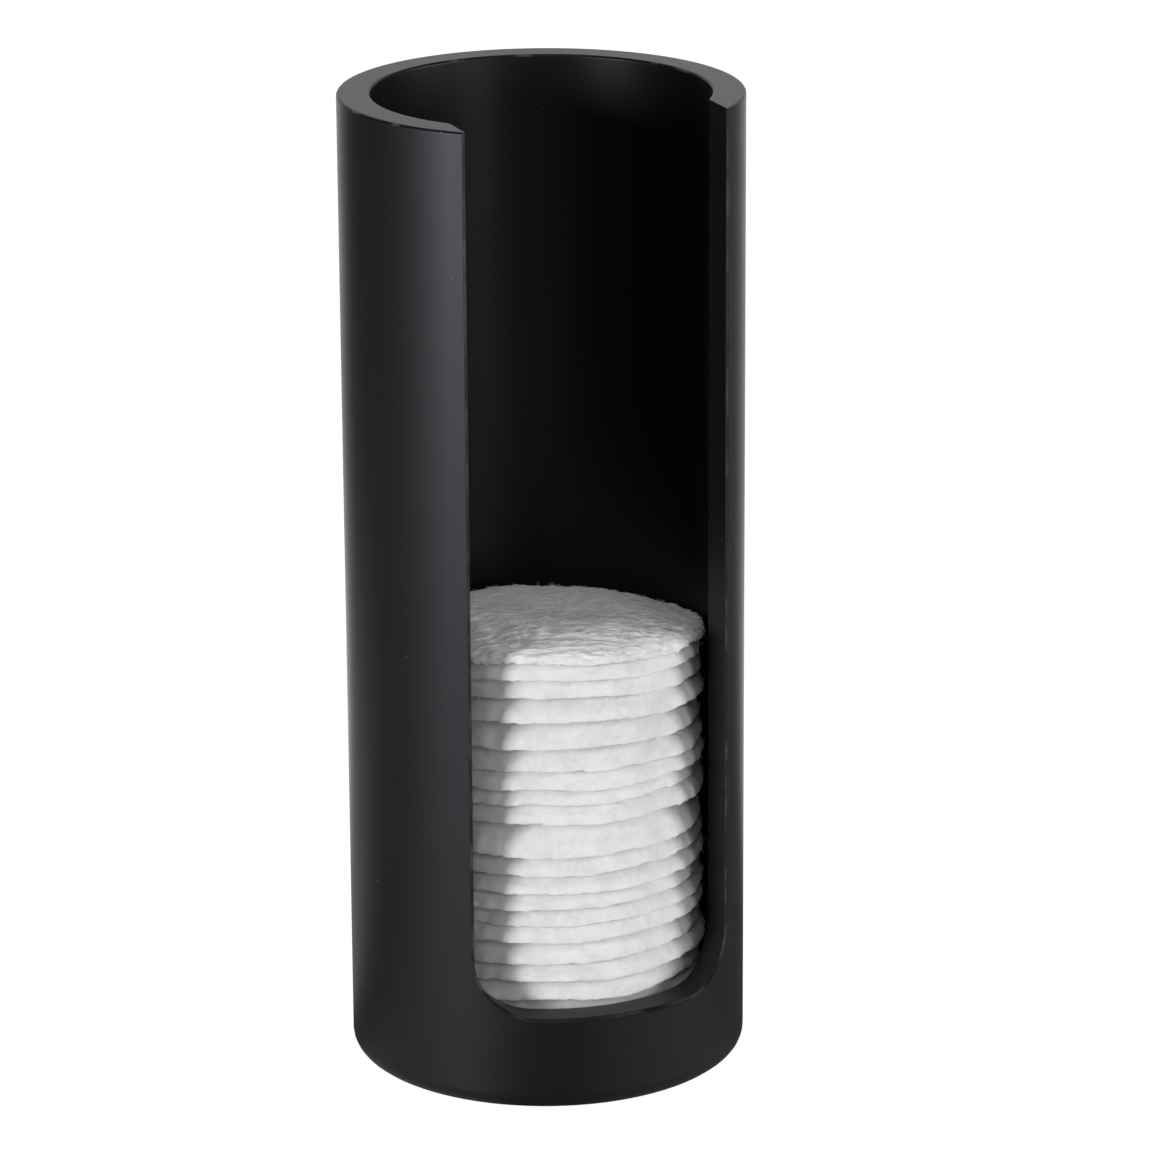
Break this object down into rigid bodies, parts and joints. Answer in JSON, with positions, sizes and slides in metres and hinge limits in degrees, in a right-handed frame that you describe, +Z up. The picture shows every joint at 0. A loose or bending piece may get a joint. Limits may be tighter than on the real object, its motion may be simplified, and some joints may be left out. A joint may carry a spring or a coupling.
{
  "type": "cotton pad holder",
  "caption": "Black round tube with a closed floor and a tall front slot that runs out through its rim, holding a stack of round cotton pads.",
  "frame": {"origin": "middle of the footprint, on the surface that the holder stands on", "axes": "+Z up along the tube; the slot faces -Y; +X is to the right when looking into the slot along +Y"},
  "size_m": [0.072, 0.072, 0.179],
  "materials": {
    "holder_black": "smooth matte black cast resin",
    "foot_foam": "fine-celled soft foam",
    "cotton": "pressed white cotton fibre"
  },
  "bodies": {
    "holder": {"holder": "holder_black", "foot_pad": "foot_foam"},
    "pad_01": {"cotton_pad_01": "cotton"},
    "pad_02": {"cotton_pad_02": "cotton"},
    "pad_03": {"cotton_pad_03": "cotton"},
    "pad_04": {"cotton_pad_04": "cotton"},
    "pad_05": {"cotton_pad_05": "cotton"},
    "pad_06": {"cotton_pad_06": "cotton"},
    "pad_07": {"cotton_pad_07": "cotton"},
    "pad_08": {"cotton_pad_08": "cotton"},
    "pad_09": {"cotton_pad_09": "cotton"},
    "pad_10": {"cotton_pad_10": "cotton"},
    "pad_11": {"cotton_pad_11": "cotton"},
    "pad_12": {"cotton_pad_12": "cotton"},
    "pad_13": {"cotton_pad_13": "cotton"},
    "pad_14": {"cotton_pad_14": "cotton"},
    "pad_15": {"cotton_pad_15": "cotton"},
    "pad_16": {"cotton_pad_16": "cotton"},
    "pad_17": {"cotton_pad_17": "cotton"},
    "pad_18": {"cotton_pad_18": "cotton"},
    "pad_19": {"cotton_pad_19": "cotton"},
    "pad_20": {"cotton_pad_20": "cotton"},
    "pad_21": {"cotton_pad_21": "cotton"},
    "pad_22": {"cotton_pad_22": "cotton"}
  },
  "joints": [
    {"name": "lift_pad_01", "type": "slide", "parent": "holder", "child": "pad_01", "axis": [0, 0, 1], "range_m": [0, 0.176]},
    {"name": "lift_pad_02", "type": "slide", "parent": "pad_01", "child": "pad_02", "axis": [0, 0, 1], "range_m": [0, 0.173]},
    {"name": "lift_pad_03", "type": "slide", "parent": "pad_02", "child": "pad_03", "axis": [0, 0, 1], "range_m": [0, 0.17]},
    {"name": "lift_pad_04", "type": "slide", "parent": "pad_03", "child": "pad_04", "axis": [0, 0, 1], "range_m": [0, 0.167]},
    {"name": "lift_pad_05", "type": "slide", "parent": "pad_04", "child": "pad_05", "axis": [0, 0, 1], "range_m": [0, 0.164]},
    {"name": "lift_pad_06", "type": "slide", "parent": "pad_05", "child": "pad_06", "axis": [0, 0, 1], "range_m": [0, 0.16]},
    {"name": "lift_pad_07", "type": "slide", "parent": "pad_06", "child": "pad_07", "axis": [0, 0, 1], "range_m": [0, 0.157]},
    {"name": "lift_pad_08", "type": "slide", "parent": "pad_07", "child": "pad_08", "axis": [0, 0, 1], "range_m": [0, 0.153]},
    {"name": "lift_pad_09", "type": "slide", "parent": "pad_08", "child": "pad_09", "axis": [0, 0, 1], "range_m": [0, 0.15]},
    {"name": "lift_pad_10", "type": "slide", "parent": "pad_09", "child": "pad_10", "axis": [0, 0, 1], "range_m": [0, 0.147]},
    {"name": "lift_pad_11", "type": "slide", "parent": "pad_10", "child": "pad_11", "axis": [0, 0, 1], "range_m": [0, 0.144]},
    {"name": "lift_pad_12", "type": "slide", "parent": "pad_11", "child": "pad_12", "axis": [0, 0, 1], "range_m": [0, 0.14]},
    {"name": "lift_pad_13", "type": "slide", "parent": "pad_12", "child": "pad_13", "axis": [0, 0, 1], "range_m": [0, 0.137]},
    {"name": "lift_pad_14", "type": "slide", "parent": "pad_13", "child": "pad_14", "axis": [0, 0, 1], "range_m": [0, 0.132]},
    {"name": "lift_pad_15", "type": "slide", "parent": "pad_14", "child": "pad_15", "axis": [0, 0, 1], "range_m": [0, 0.128]},
    {"name": "lift_pad_16", "type": "slide", "parent": "pad_15", "child": "pad_16", "axis": [0, 0, 1], "range_m": [0, 0.125]},
    {"name": "lift_pad_17", "type": "slide", "parent": "pad_16", "child": "pad_17", "axis": [0, 0, 1], "range_m": [0, 0.123]},
    {"name": "lift_pad_18", "type": "slide", "parent": "pad_17", "child": "pad_18", "axis": [0, 0, 1], "range_m": [0, 0.119]},
    {"name": "lift_pad_19", "type": "slide", "parent": "pad_18", "child": "pad_19", "axis": [0, 0, 1], "range_m": [0, 0.114]},
    {"name": "lift_pad_20", "type": "slide", "parent": "pad_19", "child": "pad_20", "axis": [0, 0, 1], "range_m": [0, 0.11]},
    {"name": "lift_pad_21", "type": "slide", "parent": "pad_20", "child": "pad_21", "axis": [0, 0, 1], "range_m": [0, 0.107]},
    {"name": "lift_pad_22", "type": "slide", "parent": "pad_21", "child": "pad_22", "axis": [0, 0, 1], "range_m": [0, 0.104]}
  ]
}
